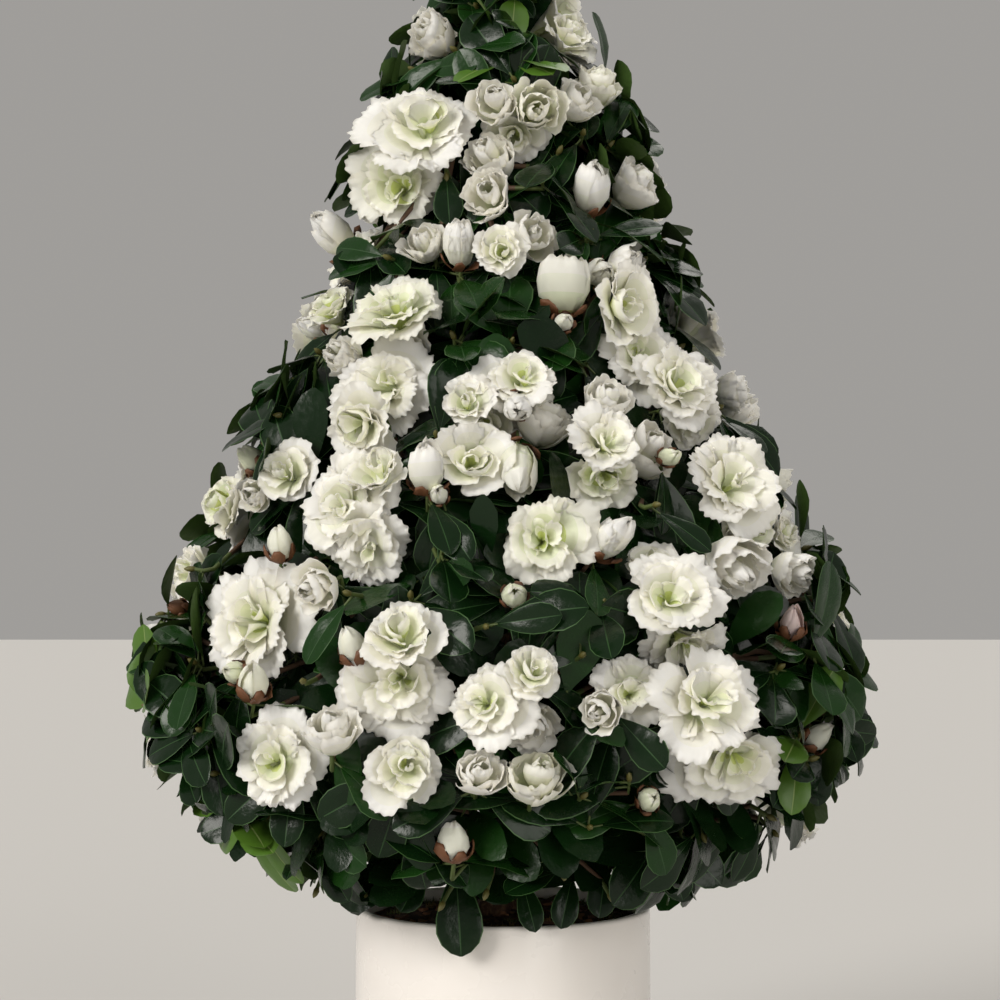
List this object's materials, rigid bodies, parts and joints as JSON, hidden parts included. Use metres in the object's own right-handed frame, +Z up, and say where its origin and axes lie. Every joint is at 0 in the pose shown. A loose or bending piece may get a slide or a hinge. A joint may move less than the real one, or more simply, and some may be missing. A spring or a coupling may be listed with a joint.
{
  "type": "azalea shrub",
  "caption": "Potted double-flowered evergreen azalea trained to a cone on one stem, in a plain round glazed pot.",
  "frame": {"origin": "the middle of the pot's flat underside", "axes": "+Z up along the stem, -Y towards the side the picture shows, +X to the right of that side"},
  "size_m": [0.4031, 0.3948, 0.7162],
  "materials": {
    "glaze": "satin white glaze",
    "compost": "damp brown compost",
    "bark": "rough brown bark",
    "foliage": "glossy dark green leaves with white flowers"
  },
  "bodies": {
    "root": {"pot": "glaze", "root_ball": "compost", "trunk": "bark", "bough_skirt_1": "bark", "bough_skirt_2": "bark", "bough_skirt_3": "bark", "bough_skirt_4": "bark", "bough_skirt_5": "bark", "bough_low_1": "bark", "bough_low_2": "bark", "bough_low_3": "bark", "bough_low_4": "bark", "bough_low_5": "bark", "bough_middle_1": "bark", "bough_middle_2": "bark", "bough_middle_3": "bark", "bough_middle_4": "bark", "bough_middle_5": "bark", "bough_high_1": "bark", "bough_high_2": "bark", "bough_high_3": "bark", "bough_high_4": "bark", "bough_upper_1": "bark", "bough_upper_2": "bark", "bough_upper_3": "bark", "foliage_skirt_1": "foliage", "foliage_skirt_2": "foliage", "foliage_skirt_3": "foliage", "foliage_skirt_4": "foliage", "foliage_skirt_5": "foliage", "foliage_low_1": "foliage", "foliage_low_2": "foliage", "foliage_low_3": "foliage", "foliage_low_4": "foliage", "foliage_low_5": "foliage", "foliage_middle_1": "foliage", "foliage_middle_2": "foliage", "foliage_middle_3": "foliage", "foliage_middle_4": "foliage", "foliage_middle_5": "foliage", "foliage_high_1": "foliage", "foliage_high_2": "foliage", "foliage_high_3": "foliage", "foliage_high_4": "foliage", "foliage_upper_1": "foliage", "foliage_upper_2": "foliage", "foliage_upper_3": "foliage", "foliage_top": "foliage"}
  },
  "joints": []
}
